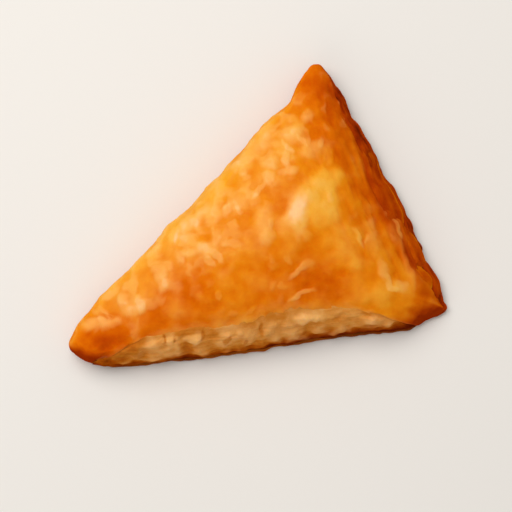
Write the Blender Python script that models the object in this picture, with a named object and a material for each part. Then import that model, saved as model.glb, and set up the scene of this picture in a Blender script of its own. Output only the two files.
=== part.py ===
"""Tiropita: a triangular cheese pie of puff pastry, one closed solid.

The pastry square was folded over along the long left edge, which is a smooth round roll. The two
other sides were cut, so their layers have risen and stand out as uneven ledges. The filling lifts
the top like a cushion.

Metres, +Z up, +X towards the short side, +Y towards the pointed top corner. The origin is the middle
of the footprint, and the pie rests on z = 0. The sizes below are in millimetres.
"""

from collections import namedtuple

import bmesh
import bpy
import numpy as np
from mathutils import Vector, noise

NAME = "tiropita"
MM = 0.001

# The pie seen from above, clockwise from the tip of the left corner.
OUTLINE = np.array([
    (-63.5, -41.0), (-56.0, -30.0), (-47.0, -21.5), (-31.0, -5.0), (-14.5, 12.0), (2.0, 31.0),
    (10.8, 39.0), (13.8, 45.6), (19.0, 52.5), (24.9, 48.7), (31.6, 35.0), (41.5, 17.5),
    (51.0, -1.0), (56.0, -13.0), (60.6, -21.0), (62.0, -28.0), (63.7, -31.5), (57.0, -34.6),
    (50.0, -38.5), (25.0, -41.2), (-5.0, -46.0), (-40.0, -50.2), (-54.5, -50.6), (-61.5, -46.5),
])

# The straight-sided triangle around the rim of the top, which is highest over its middle.
CORNERS = np.array([(-70.0, -50.0), (20.5, 53.0), (58.0, -34.0)])
CROWN = CORNERS.mean(axis=0)
CROWN_HEIGHT = 28.5
CORNER_HEIGHT = 12.0
CUSHION_POWER = 0.7  # the lower, the flatter the middle of the top and the steeper its rim

# An upright section of the edge at one outline point: how far the foot tucks in, the height of the
# widest place, how far in the rim of the top lies, whether the wall between them is a straight slope
# (1) or a round roll (2), and how strongly its layers show (0 to 1).
Section = namedtuple("Section", "point tuck widest rim_inset roundness layers")
SECTIONS = [
    Section(0, 5.0, 7.5, 7.5, 2.0, 0.0),    # tip of the left corner
    Section(2, 6.0, 8.5, 7.5, 2.0, 0.0),
    Section(4, 6.5, 9.0, 8.0, 2.0, 0.0),    # middle of the folded edge
    Section(6, 5.0, 8.5, 6.0, 2.0, 0.0),
    Section(8, 3.0, 7.5, 5.5, 2.0, 0.1),    # tip of the top corner
    Section(10, 2.0, 4.0, 5.5, 1.3, 0.8),
    Section(12, 1.8, 3.0, 11.0, 1.3, 1.0),  # middle of the short side
    Section(14, 1.8, 2.6, 12.0, 1.4, 1.0),
    Section(16, 1.5, 2.2, 14.0, 1.2, 0.8),  # the loose flap of the right corner
    Section(18, 2.0, 2.6, 13.5, 1.4, 0.9),
    Section(19, 2.2, 2.6, 10.5, 1.3, 1.0),
    Section(20, 2.2, 2.6, 9.0, 1.3, 1.0),   # middle of the front side
    Section(21, 2.2, 3.4, 14.0, 1.4, 0.9),
    Section(21.8, 3.0, 4.5, 15.5, 1.5, 0.5),
    Section(22.6, 4.0, 6.0, 9.0, 1.8, 0.0),
]

LEDGE_PITCH = 2.6  # from one risen layer to the next
LEDGE_DEPTH = 0.55
LEDGE_DRIFT = 0.6  # how far the layers wander up and down, in pitches
SCALLOP_DEPTH = 0.9  # of the waves along the edge
PUFF_HEIGHT = 1.3  # of the broad swellings of the top

# The length of one wave of each unevenness, along x, y and z.
LEDGE_GRAIN = (6.0, 6.0, 3.5)
DRIFT_GRAIN = (18.0, 18.0, 60.0)
SCALLOP_GRAIN = (11.0, 11.0, 40.0)
PUFF_GRAIN = (16.0, 16.0, 60.0)

COLUMNS = 126  # upright sections in the loft
FOOT_RINGS = 3
WALL_RINGS = 19
TOP_RINGS = 9
RIM_SPREAD = 4  # rings on each side of the rim that take part in rounding it off
RIM_PASSES = 6
SHARP_EDGE = np.radians(50)


def unevenness(points, grain):
    """Smooth noise from about -1 to 1 at each point, stretched to the grain's lengths."""
    return np.array([noise.noise(Vector(point)) for point in points / np.array(grain)])


def around_spline(values, places):
    """Values on a closed Catmull-Rom curve through the given rows, at places counted in rows."""
    row = np.floor(places).astype(int)
    f = (places - row)[:, None]
    a, b, c, d = (values[(row + step) % len(values)] for step in (-1, 0, 1, 2))
    return 0.5 * (2 * b + (c - a) * f + (2 * a - 5 * b + 4 * c - d) * f**2 + (3 * b - a - 3 * c + d) * f**3)


def even_places(count):
    """Places along the outline, counted in outline points, a constant length apart."""
    fine = np.linspace(0, len(OUTLINE), 100 * len(OUTLINE) + 1)
    steps = np.linalg.norm(np.diff(around_spline(OUTLINE, fine), axis=0), axis=1)
    length = np.concatenate([[0], np.cumsum(steps)])
    return np.interp(np.arange(count) * length[-1] / count, length, fine)


def section_sizes(places):
    """The sizes of the upright section at each place, eased from one named section to the next."""
    known = np.array([section.point for section in SECTIONS] + [len(OUTLINE)])
    sizes = np.array([section[1:] for section in SECTIONS + SECTIONS[:1]])
    last = np.searchsorted(known, places, side="right") - 1
    f = ((places - known[last]) / (known[last + 1] - known[last]))[:, None]
    ease = f * f * (3 - 2 * f)
    return Section(places, *(sizes[last] * (1 - ease) + sizes[last + 1] * ease).T)


def top_height(flat):
    """The top's height over each place: a power of the product of its distances to the triangle's sides."""
    sides = np.roll(CORNERS, -1, axis=0) - CORNERS
    normals = np.column_stack([sides[:, 1], -sides[:, 0]])
    distances = [(flat - CORNERS[side]) @ normals[side] for side in range(3)]
    middle = [(CROWN - CORNERS[side]) @ normals[side] for side in range(3)]
    cushion = np.maximum(np.prod(distances, axis=0) / np.prod(middle), 0) ** CUSHION_POWER
    return CORNER_HEIGHT + (CROWN_HEIGHT - CORNER_HEIGHT) * cushion


class Edge:
    """The outline's columns: where each one stands, which way it faces and how far out it reaches."""

    def __init__(self):
        places = even_places(COLUMNS)
        line = around_spline(OUTLINE, places)
        self.sizes = section_sizes(places)
        self.outward = (line - CROWN) / np.linalg.norm(line - CROWN, axis=1)[:, None]
        foot = np.column_stack([line, np.zeros(COLUMNS)])
        self.reach = np.linalg.norm(line - CROWN, axis=1) + SCALLOP_DEPTH * unevenness(foot, SCALLOP_GRAIN)

    def ring(self, inset, height):
        """A ring of points at this inset from the outline and this height."""
        flat = CROWN + self.outward * (self.reach - inset)[:, None]
        return np.column_stack([flat, np.broadcast_to(height, self.reach.shape)])


def foot_rings(edge):
    """The foot turns under as a quarter ellipse, from the flat underside to the widest place."""
    for turn in np.linspace(0, np.pi / 2, FOOT_RINGS + 1)[:-1]:
        yield edge.ring(edge.sizes.tuck * (1 - np.sin(turn)), edge.sizes.widest * (1 - np.cos(turn)))


def wall_rings(edge):
    """The wall is a superellipse between a slope and a roll, with the risen layers as ledges across it."""
    sizes = edge.sizes
    rise = top_height(edge.ring(sizes.rim_inset, 0)[:, :2]) - sizes.widest
    for share in np.linspace(0, 1, WALL_RINGS):
        slope, roll = np.arcsin(np.sqrt(share)), share * np.pi / 2
        turn = slope + (roll - slope) * (sizes.roundness - 1)
        inset = sizes.rim_inset * (1 - np.cos(turn) ** (2 / sizes.roundness))
        height = sizes.widest + rise * np.sin(turn) ** (2 / sizes.roundness)
        wall = edge.ring(inset, height)
        level = height / LEDGE_PITCH + LEDGE_DRIFT * unevenness(wall, DRIFT_GRAIN)
        ledge = np.sin(2 * np.pi * level) + 2 * unevenness(wall, LEDGE_GRAIN)
        yield edge.ring(inset - LEDGE_DEPTH * sizes.layers * ledge * (1 - share**6), height)


def top_rings(edge):
    """The top rises like a cushion from the rim to the crown, with broad swellings."""
    rim_inset = edge.sizes.rim_inset
    for share in np.linspace(0, 1, TOP_RINGS + 1)[1:-1]:
        top = edge.ring(rim_inset + (edge.reach - rim_inset) * share, 0)
        swelling = PUFF_HEIGHT * unevenness(top, PUFF_GRAIN) * min(1, 3 * share)
        top[:, 2] = top_height(top[:, :2]) + swelling
        yield top


def rounded_rim(rings):
    """The rings with those around the rim moved halfway to the middle of their neighbours, a few times."""
    rings = np.array(rings)
    rim = FOOT_RINGS + WALL_RINGS - 1
    near = slice(rim - RIM_SPREAD, rim + RIM_SPREAD)
    below = slice(near.start - 1, near.stop - 1)
    above = slice(near.start + 1, near.stop + 1)
    for _ in range(RIM_PASSES):
        rings[near] = (rings[below] + 2 * rings[near] + rings[above]) / 4
    return rings


def centred(points):
    """The points in metres, with the middle of their footprint at the origin."""
    flat = points[:, :2]
    middle = (flat.min(axis=0) + flat.max(axis=0)) / 2
    return (points - np.array([*middle, 0])) * MM


def loft(rings, crown):
    """A closed mesh through the rings, with one flat face below and a fan of faces up to the crown."""
    points = centred(np.vstack([*rings, crown]))
    mesh = bmesh.new()
    corners = [mesh.verts.new(point) for point in points]
    grid = [corners[start:start + COLUMNS] for start in range(0, len(corners) - 1, COLUMNS)]
    mesh.faces.new(grid[0])
    for column in range(COLUMNS):
        after = (column + 1) % COLUMNS
        for lower, upper in zip(grid, grid[1:]):
            mesh.faces.new((lower[column], lower[after], upper[after], upper[column]))
        mesh.faces.new((grid[-1][column], grid[-1][after], corners[-1]))
    bmesh.ops.recalc_face_normals(mesh, faces=mesh.faces)
    return mesh


def crust_material():
    """Browned, egg-washed puff pastry."""
    material = bpy.data.materials.new("browned_crust")
    material.use_nodes = True
    shader = material.node_tree.nodes["Principled BSDF"]
    shader.inputs["Base Color"].default_value = (0.72, 0.26, 0.035, 1.0)
    shader.inputs["Roughness"].default_value = 0.42
    shader.inputs["Metallic"].default_value = 0.0
    return material


def clear_scene():
    for old in list(bpy.data.objects):
        bpy.data.objects.remove(old, do_unlink=True)


def main():
    clear_scene()
    collection = bpy.data.collections.new(NAME)
    bpy.context.scene.collection.children.link(collection)
    edge = Edge()
    rings = rounded_rim([*foot_rings(edge), *wall_rings(edge), *top_rings(edge)])
    shape = loft(rings, (*CROWN, CROWN_HEIGHT))
    data = bpy.data.meshes.new(NAME)
    shape.to_mesh(data)
    shape.free()
    data.materials.append(crust_material())
    data.shade_smooth()
    data.set_sharp_from_angle(angle=SHARP_EDGE)
    collection.objects.link(bpy.data.objects.new(NAME, data))


main()
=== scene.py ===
"""The looks of the tiropita: a golden, blistered puff pastry triangle with pale layers at its cut sides.

Every piece is a surface over the pie's own form. A place on that form has two coordinates: where it
lies round the outline, counted in outline points, and its way from the crown, in millimetres along
the upright section. All sizes are millimetres until a piece becomes a mesh.
"""

from collections import namedtuple

import bpy
import numpy as np
from mathutils import Matrix, Vector


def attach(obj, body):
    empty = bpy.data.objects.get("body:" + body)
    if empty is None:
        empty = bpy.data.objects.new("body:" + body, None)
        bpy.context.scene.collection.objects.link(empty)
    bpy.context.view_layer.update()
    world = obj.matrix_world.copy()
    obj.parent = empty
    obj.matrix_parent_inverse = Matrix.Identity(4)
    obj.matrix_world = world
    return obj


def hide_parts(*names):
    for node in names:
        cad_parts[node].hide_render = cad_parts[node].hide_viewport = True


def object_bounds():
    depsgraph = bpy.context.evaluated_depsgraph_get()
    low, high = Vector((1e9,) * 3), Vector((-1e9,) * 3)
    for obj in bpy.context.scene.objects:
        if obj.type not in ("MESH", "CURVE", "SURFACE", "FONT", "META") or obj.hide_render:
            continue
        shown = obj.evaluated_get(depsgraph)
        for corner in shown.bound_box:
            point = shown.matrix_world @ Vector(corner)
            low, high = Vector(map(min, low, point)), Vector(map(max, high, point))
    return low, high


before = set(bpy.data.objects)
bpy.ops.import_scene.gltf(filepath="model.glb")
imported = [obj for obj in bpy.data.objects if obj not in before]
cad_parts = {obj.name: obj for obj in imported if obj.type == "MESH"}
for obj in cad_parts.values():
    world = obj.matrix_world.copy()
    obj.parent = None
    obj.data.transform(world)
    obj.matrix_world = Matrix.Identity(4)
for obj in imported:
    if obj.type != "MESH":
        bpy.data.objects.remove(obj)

CAD_BOX = [list(corner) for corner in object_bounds()]
NODE = "tiropita"
MM = 0.001

# ---- The pie's form, with the outline and the sections of the solid it stands for ----

# The pie seen from above, clockwise from the tip of the left corner.
OUTLINE = np.array([
    (-63.5, -41.0), (-56.0, -30.0), (-47.0, -21.5), (-31.0, -5.0), (-14.5, 12.0), (2.0, 31.0),
    (10.8, 39.0), (13.8, 45.6), (19.0, 52.5), (24.9, 48.7), (31.6, 35.0), (41.5, 17.5),
    (51.0, -1.0), (56.0, -13.0), (60.6, -21.0), (62.0, -28.0), (63.7, -31.5), (57.0, -34.6),
    (50.0, -38.5), (25.0, -41.2), (-5.0, -46.0), (-40.0, -50.2), (-54.5, -50.6), (-61.5, -46.5),
])
ONE_ROUND = len(OUTLINE)

# The straight-sided triangle around the rim of the top, which is highest over its middle.
CORNERS = np.array([(-70.0, -50.0), (20.5, 53.0), (58.0, -34.0)])
CROWN = CORNERS.mean(axis=0)
CROWN_HEIGHT = 28.0  # a little under the solid's, because the relief stands out from it
CORNER_HEIGHT = 12.0
CUSHION_POWER = 0.7  # the lower, the flatter the middle of the top and the steeper its rim
# The middle of the footprint, which is the frame's origin.
MIDDLE = (OUTLINE.min(axis=0) + OUTLINE.max(axis=0)) / 2 - np.array(CAD_BOX).mean(axis=0)[:2] / MM

# An upright section at an outline point: how far the foot tucks in, the height of the widest place,
# how far in the rim lies, and whether the wall is a straight slope (1) or a round roll (2).
Section = namedtuple("Section", "point tuck widest rim_inset roundness")
SECTIONS = [
    (0, 5.0, 7.5, 7.5, 2.0),    # tip of the left corner
    (2, 6.0, 8.5, 7.5, 2.0),
    (4, 6.5, 9.0, 8.0, 2.0),    # middle of the folded edge
    (6, 5.0, 8.5, 6.0, 2.0),
    (8, 3.0, 7.5, 5.5, 2.0),    # tip of the top corner
    (10, 2.0, 4.0, 5.5, 1.3),
    (12, 1.8, 3.0, 11.0, 1.3),  # middle of the short side
    (14, 1.8, 2.6, 12.0, 1.4),
    (16, 1.5, 2.2, 14.0, 1.2),  # right corner
    (18, 2.0, 2.6, 13.5, 1.4),
    (19, 2.2, 2.6, 10.5, 1.3),
    (20, 2.2, 2.6, 9.0, 1.3),   # middle of the front side
    (21, 2.2, 3.4, 14.0, 1.4),
    (21.8, 3.0, 4.5, 15.5, 1.5),
    (22.6, 4.0, 6.0, 9.0, 1.8),
]

RIM_ROUNDING = 5.0  # how far the rounded rim reaches to each side
ARC_OVER_CHORD = 1.11  # the length of a quarter round, over the straight line between its ends
FINE_STEPS = 100  # between two outline points, to measure the outline's length

# Where the golden crust ends, from 0 at the rim, over 1 at the widest place, to 2 at the foot. It covers
# the folded edge and two corners, and the two cut sides are bare.
LIP = [
    (0, 1.8), (8.8, 1.8), (9.2, 1.2), (9.5, 0.7), (9.9, 0.4), (10.3, 0.3), (10.85, 0.28), (11.2, 0.48),
    (11.55, 0.8), (12, 0.7), (12.4, 0.68), (12.8, 0.58), (13.1, 0.66), (13.5, 0.5), (14.1, 0.4),
    (14.5, 0.6), (15, 0.85), (16.2, 1), (16.8, 1.2), (17.2, 1.5), (17.45, 1.35), (17.75, 0.75),
    (17.95, 0.3), (18.25, 0.05), (21.45, 0.02), (21.85, 0.22), (22.15, 0.8), (22.4, 1.8),
]
# Where the crust is streaked beside the short side and darker with painted shade, and where it turns pale
# towards its lip.
RIGHT_EDGE = [(0, 0), (8, 0), (9.5, 1), (13.3, 1), (14.6, 0.4), (16.5, 0), (18, 0)]
PALE_EDGE = [(0, 0), (17.4, 0), (18.1, 1), (22.3, 1), (22.9, 0)]
# How dark the bare walls are, from 0, pale, to 1, dark: browning, and on the short side also painted shade.
WALL_TOAST_AND_SHADE = [
    (0, 0.6), (8, 0.75), (9.5, 0.95), (10.6, 0.88), (14, 0.78), (16.5, 0.72), (17.4, 0.6), (18, 0.36),
    (21.2, 0.36), (21.7, 0.42), (22.3, 0.55), (23, 0.6),
]
# How far the bottom crust stands out past the edge.
BASE_EDGE = [
    (0, -5.4), (8, -3.2), (8.6, -0.6), (10, -0.4), (14, 0.2), (16, 0.3), (17, -0.2),
    (18, -0.1), (20, 0), (21.5, 0), (22.4, -1.4), (23.1, -4.6),
]

# ---- Unevenness ----

CUBE_CORNERS = np.array(list(np.ndindex(2, 2, 2)))
# The directions in which noise pulls: from a cube's middle to the middles of its twelve edges.
PULLS = np.array([
    *[(x, y, 0) for x in (-1, 1) for y in (-1, 1)],
    *[(x, 0, z) for x in (-1, 1) for z in (-1, 1)],
    *[(0, y, z) for y in (-1, 1) for z in (-1, 1)],
], float)
CELL_AND_NEIGHBOURS = np.array(list(np.ndindex(3, 3))) - 1
# The factors and shifts that mix a cell's bits, and how the draw's number enters them.
MIXING = [(np.uint32(2654435761), np.uint32(15)), (np.uint32(2246822519), np.uint32(13))]
DRAW_FACTOR, DRAW_START = 40503, 977
DRAW_SHIFT = 13.7  # from one draw of noise to the next, in cells
OCTAVE_FACTOR, OCTAVE_SHIFT = 2.03, 5.1  # how much finer the next octave is, and how far it is shifted


def chance(cells, seed):
    """A number from 0 to 1 for each whole-number cell: its coordinates' bits, multiplied and mixed."""
    mix = np.full(cells.shape[:-1], seed * DRAW_FACTOR + DRAW_START, np.uint32)
    for axis in range(cells.shape[-1]):
        mix = mix ^ (cells[..., axis].astype(np.int64) & 0xFFFFFFFF).astype(np.uint32)
        for factor, shift in MIXING:
            mix = mix * factor
            mix = mix ^ (mix >> shift)
    return mix / 2.0**32


def noise(points, size, seed, octaves=1):
    """Gradient noise, about -1 to 1: each unit cube's corners pull along hashed directions, blended by a
    quintic S-curve. Each further octave is half as wide and half as strong. Flat points get a height of 0."""
    if points.shape[-1] == 2:
        points = np.column_stack([points, np.zeros(len(points))])
    at = points / np.asarray(size, float) + DRAW_SHIFT * seed
    total, strength = 0.0, 1.0
    for octave in range(octaves):
        cell = np.floor(at)
        part = at - cell
        ease = part**3 * (part * (part * 6 - 15) + 10)
        for corner in CUBE_CORNERS:
            pull = PULLS[(chance(cell + corner, seed + octave) * len(PULLS)).astype(int)]
            share = np.where(corner, ease, 1 - ease).prod(axis=-1)
            total = total + strength * share * ((part - corner) * pull).sum(axis=-1)
        at, strength = at * OCTAVE_FACTOR + OCTAVE_SHIFT, strength / 2
    return total


def wander(points, size, seed):
    """Two draws of noise as the two parts of a flat step aside."""
    return np.column_stack([noise(points, size, seed), noise(points, size, seed + 1)])


def turned(flat, turn):
    """How far flat points lie along a direction, and across it, with its turn from the x axis."""
    x, y = flat[:, 0], flat[:, 1]
    return x * np.cos(turn) + y * np.sin(turn), y * np.cos(turn) - x * np.sin(turn)


def blisters(flat, size, seed, share, stretch, lean, spread):
    """Scattered domes, 0 to 1: one in each cell where a draw is under the share wanted there, as an ellipse
    of drawn radius and height, turned round the lean by up to half the spread, in degrees."""
    at = flat / size
    cell = np.floor(at)
    best = np.zeros(len(at))
    for move in CELL_AND_NEIGHBOURS:
        there = cell + move
        draws = [chance(there, seed + draw) for draw in range(6)]
        offset = at - there - 0.5 - 0.6 * (np.stack(draws[:2], axis=-1) - 0.5)
        radius, turn = 0.25 + 0.3 * draws[2], np.radians(lean + spread * (draws[3] - 0.5))
        along, across = turned(offset / radius[:, None], turn)
        dome = np.maximum(1 - (along / stretch) ** 2 - across**2, 0) ** 1.4
        best = np.maximum(best, dome * (0.45 + 0.55 * draws[4]) * np.clip(5 * (share - draws[5]), 0, 1))
    return best


def unit(vectors):
    """Vectors in the same directions, with a length of 1."""
    return vectors / np.maximum(np.linalg.norm(vectors, axis=-1, keepdims=True), 1e-9)


def step(low, high, value):
    """An S-curve from 0 at low to 1 at high."""
    part = np.clip((value - low) / (high - low), 0, 1)
    return part * part * (3 - 2 * part)


# ---- The form's surface ----


def around_spline(values, places):
    """Values on a closed Catmull-Rom curve through the given rows, at places counted in rows."""
    row = np.floor(places).astype(int)
    f = (places - row)[:, None]
    a, b, c, d = (values[(row + offset) % len(values)] for offset in (-1, 0, 1, 2))
    return 0.5 * (2 * b + (c - a) * f + (2 * a - 5 * b + 4 * c - d) * f**2 + (3 * b - a - 3 * c + d) * f**3)


def even_places(share):
    """Places for shares of the outline's length, from 0 to 1."""
    fine = np.linspace(0, ONE_ROUND, FINE_STEPS * ONE_ROUND + 1)
    steps = np.linalg.norm(np.diff(around_spline(OUTLINE, fine), axis=0), axis=1)
    length = np.concatenate([[0], np.cumsum(steps)])
    return np.interp(np.asarray(share) % 1 * length[-1], length, fine)


def eased(known, places):
    """Rows of values at known places, eased from each to the next round the closed outline."""
    at = np.array([row[0] for row in known] + [ONE_ROUND], float)
    values = np.array([row[1:] for row in known + known[:1]], float)
    places = places % ONE_ROUND
    last = np.searchsorted(at, places, side="right") - 1
    ease = step(0, 1, (places - at[last]) / (at[last + 1] - at[last]))[:, None]
    return (values[last] * (1 - ease) + values[last + 1] * ease).T


def top_height(flat):
    """The top's height: a power of the product of the distances to the three sides of the triangle."""
    sides = np.roll(CORNERS, -1, axis=0) - CORNERS
    normals = np.column_stack([sides[:, 1], -sides[:, 0]])
    distances = [(flat - CORNERS[side]) @ normals[side] for side in range(3)]
    middle = [(CROWN - CORNERS[side]) @ normals[side] for side in range(3)]
    cushion = np.maximum(np.prod(distances, axis=0) / np.prod(middle), 0) ** CUSHION_POWER
    return CORNER_HEIGHT + (CROWN_HEIGHT - CORNER_HEIGHT) * cushion


class Form:
    """The pie's bare form at the given places round the outline."""

    def __init__(self, places):
        line = around_spline(OUTLINE, places)
        away = line - CROWN
        self.places = places
        self.sizes = Section(places, *eased(SECTIONS, places))
        self.outward = away / np.linalg.norm(away, axis=1)[:, None]
        scallop = 0.8 * noise(line, 11.0, seed=3) + 0.35 * noise(line, 3.6, seed=4)
        self.reach = np.linalg.norm(away, axis=1) + scallop
        self.top = self.reach - self.sizes.rim_inset
        rim = CROWN + self.outward * self.top[:, None]
        self.rise = top_height(rim) - self.sizes.widest
        self.wall = ARC_OVER_CHORD * np.hypot(self.sizes.rim_inset, self.rise)
        self.foot = ARC_OVER_CHORD * np.hypot(self.sizes.tuck, self.sizes.widest)

    def value(self, known):
        """A value at the form's places, eased from one known place to the next."""
        return eased(known, self.places)[0]

    def whole(self):
        """The way from the crown to the foot."""
        return self.top + self.wall + self.foot

    def at(self, way):
        """Points at a way from the crown, with the rim rounded off: near it each lies on the parabola whose
        corner is the rim and whose ends are the section's own points on both sides."""
        along = np.clip((way - self.top + RIM_ROUNDING) / (2 * RIM_ROUNDING), 0, 1)[:, None]
        corner, near, far = (self.section(self.top + side) for side in (0, -RIM_ROUNDING, RIM_ROUNDING))
        rounded = (1 - along) ** 2 * near + 2 * along * (1 - along) * corner + along**2 * far
        return np.where((along > 0) & (along < 1), rounded, self.section(way))

    def section(self, way):
        """Points at a way from the crown: across the top, down the wall, which is a superellipse between a
        slope and a roll, and round the foot, which is a quarter ellipse."""
        sizes = self.sizes
        up = 1 - np.clip((way - self.top) / self.wall, 0, 1)
        slope, roll = np.arcsin(np.sqrt(up)), up * np.pi / 2
        turn = slope + (roll - slope) * (sizes.roundness - 1)
        inset = sizes.rim_inset * (1 - np.cos(turn) ** (2 / sizes.roundness))
        height = sizes.widest + self.rise * np.sin(turn) ** (2 / sizes.roundness)
        under = np.pi / 2 * np.clip(1 - (way - self.top - self.wall) / self.foot, 0, 1)
        low = way > self.top + self.wall
        inset = np.where(low, sizes.tuck * (1 - np.sin(under)), inset)
        height = np.where(low, sizes.widest * (1 - np.cos(under)), height)
        inset = np.where(way < self.top, self.reach - way, inset)
        flat = CROWN + self.outward * (self.reach - inset)[:, None]
        return np.column_stack([flat, np.where(way < self.top, top_height(flat), height)])

    def unrolled(self, way):
        """Points on a flat plan of the skin, each its whole way from the crown, so nothing is squeezed."""
        return CROWN + self.outward * way[:, None]

    def outward_normals(self, way):
        """Unit normals, as the cross product of short steps down the section and round the outline."""
        down, around = 0.25, 0.01
        fall = self.at(way + down) - self.at(way - down)
        across = Form(self.places + around).at(way) - Form(self.places - around).at(way)
        return unit(np.cross(across, fall))


# ---- Meshes ----


def strips(lines, closed=True):
    """Four-sided faces between each line of corners and the next."""
    lines = np.array(lines)
    after = np.roll(lines, -1, axis=1)
    faces = np.stack([lines[:-1], after[:-1], after[1:], lines[1:]], axis=-1)
    return (faces if closed else faces[:, :-1]).reshape(-1, 4)


def fan(ring, middle, flip=False):
    """Triangles from each step along a closed ring of corners to a middle corner."""
    after = np.roll(ring, -1)
    first, second = (after, ring) if flip else (ring, after)
    return np.stack([first, second, np.full(len(ring), middle)], axis=-1)


def square_rings(side):
    """A square grid read as nested squares: for each point its share of the way out, and of the way round."""
    line = np.linspace(-1, 1, side)
    a, b = (grid.ravel() for grid in np.meshgrid(line, line, indexing="ij"))
    out = np.maximum(np.abs(a), np.abs(b))
    safe = np.maximum(out, 1e-9)
    quarter = np.select([a >= safe, b >= safe, a <= -safe], [0, 1, 2], 3)
    run = np.select([quarter == 0, quarter == 1, quarter == 2], [b, -a, -b], a) / safe
    return out, (quarter + (run + 1) / 2) / 4


def square_border(side):
    """The corners round a square grid's border, in the order of their share of the way round."""
    grid = np.arange(side * side).reshape(side, side)
    return np.concatenate([grid[-1, :-1], grid[:0:-1, -1], grid[0, :0:-1], grid[:-1, 0]])


def plate_faces(side, rings, facing_down=False):
    """The faces of a closed plate: a square grid, strips from its border through a number of rings of
    corners stored after it, and a fan from the last ring to one last corner."""
    grid = np.arange(side**2).reshape(side, side)
    square, border = strips(grid, closed=False), square_border(side)
    peak = side**2 + rings * len(border)
    loops = np.vstack([border, np.arange(side**2, peak).reshape(rings, -1)])
    if facing_down:
        square, loops = square[:, [0, 3, 2, 1]], loops[::-1]
    return [square, strips(loops), fan(loops[0 if facing_down else -1], peak, flip=facing_down)]


def add_object(name, data):
    """A new object in the scene."""
    new = bpy.data.objects.new(name, data)
    bpy.context.scene.collection.objects.link(new)
    return new


def make_piece(name, points, faces, masks, material, slot):
    """A mesh piece in the frame's metres, from points in millimetres and a list of face arrays. It rides on
    the pie, stands for its solid and carries its masks as attributes."""
    mesh = bpy.data.meshes.new(name)
    sizes = np.concatenate([np.full(len(part), part.shape[1]) for part in faces])
    corners = np.concatenate([part.ravel() for part in faces]).astype(np.int32)
    mesh.vertices.add(len(points))
    mesh.vertices.foreach_set("co", ((points - [*MIDDLE, 0]) * MM).astype(np.float32).ravel())
    mesh.loops.add(len(corners))
    mesh.loops.foreach_set("vertex_index", corners)
    mesh.polygons.add(len(sizes))
    mesh.polygons.foreach_set("loop_start", np.concatenate([[0], np.cumsum(sizes)[:-1]]).astype(np.int32))
    mesh.polygons.foreach_set("use_smooth", np.ones(len(sizes), bool))
    mesh.update(calc_edges=True)
    for mask, values in masks.items():
        mesh.attributes.new(mask, "FLOAT", "POINT").data.foreach_set("value", values.astype(np.float32))
    mesh.materials.append(material)
    piece = add_object(name, mesh)
    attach(piece, "root")
    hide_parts(NODE)


# ---- The golden crust ----

CRUST_SIDE = 293  # points along each side of the crust's square grid
CRUST_FLOOR = 0.05  # the lowest place of the crust
CRUST_TONE = 0.43  # of the crust's plain places, from 0, pale, to 1, dark
DARKEST = 0.88  # the most that the crust's masks reach
UNDER_WAYS = [(0.0, 0.35), (0.35, 0.75), (1.6, 0.95), (3.6, 1.2)]  # way back from the lip, depth
EDGE_DIVE = 0.6  # how deep the crust's pale edge dives into the inside
# A place on the folded edge and the direction from it into the pie.
FOLD_START = np.array([-47.0, -21.5])
FOLD_INWARDS = np.array([0.723, -0.691])
# The streaks beside the short side: the turn of their length, their length and their width.
STREAK_TURN = np.radians(112)
STREAK_SIZE = (14.0, 3.2)
# How much each unevenness adds to the crust's height, tone and cream. Raised places get lighter and creamier,
# a painted highlight.
UNEVENNESS = np.array([
    (0.7, -0.06, 0.0),   # broad puffs
    (0.3, -0.1, 0.08),   # swells
    (0.06, -0.04, 0.0),  # ripples
    (0.2, -0.05, 0.14),  # small blisters
    (0.2, -0.05, 0.24),  # blotches along the fold
])

# A place on the crust: centre, length, width, turn in degrees, height, change of tone, and how creamy it is,
# the cream partly a painted highlight.
Mark = namedtuple("Mark", "x y length width turn height tone cream")
ZONE_SOFTNESS, MARK_SOFTNESS, WALL_SOFTNESS = 1.0, 0.185, 0.16
MARK_STRENGTH = np.array([[1.0], [0.85], [0.8]])  # of the marks' height, tone and cream
# Broad, soft-edged zones.
ZONES = [
    # The golden strip along the fold is partly painted light, on the side towards the lamp.
    (-15, 4.5, 88, 24, 46, 0, -0.1, 0.12),  # golden strip along the fold
    (-25, -31, 36, 16, 8, -0.4, 0.1, 0),  # brown hollow of the left corner
    (2, -19, 38, 20, 5, -0.4, 0.05, 0),
    (-11, -26, 20, 15, 60, 0, -0.09, 0),
    (21, -18.5, 13, 12, 0, -0.3, 0.06, 0),
    (23, -11.5, 13, 11, 90, 0, -0.09, 0.02),
    (18, -26, 28, 9, 8, 0, 0.08, 0),
    # This zone and the next three darken the slopes that turn down towards the short side: painted shade.
    (30.5, 12, 42, 12, 112, 0, 0.03, -0.05),  # the side that turns down towards the short edge
    (24, 36, 32, 9, 100, 0, 0.08, 0),
    (31, 27.5, 20, 5, 116, 0, 0.03, -0.05),
    (38, 10, 38, 9, 114, 0, 0.06, 0),
    (19.5, 46.5, 17, 19, 60, 0, 0.19, -0.3),  # the top corner
    (-57, -43.5, 20, 12, 20, 0, 0.12, -0.25),  # the left corner
    (-46, -39, 22, 8, 5, 0, 0.1, -0.1),
    (-58, -52, 20, 8, 165, 0, 0.2, -0.2),
    (-50, -45, 17, 7, 25, 0, 0.13, -0.15),
    (28.5, -4, 32, 15, 105, 0.2, -0.09, 0.05),
    (44, -21, 24, 17, 100, 0.3, -0.06, 0.02),  # the right corner
    (56, -26, 22, 7, 100, 0, 0.06, 0),
]
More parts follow.
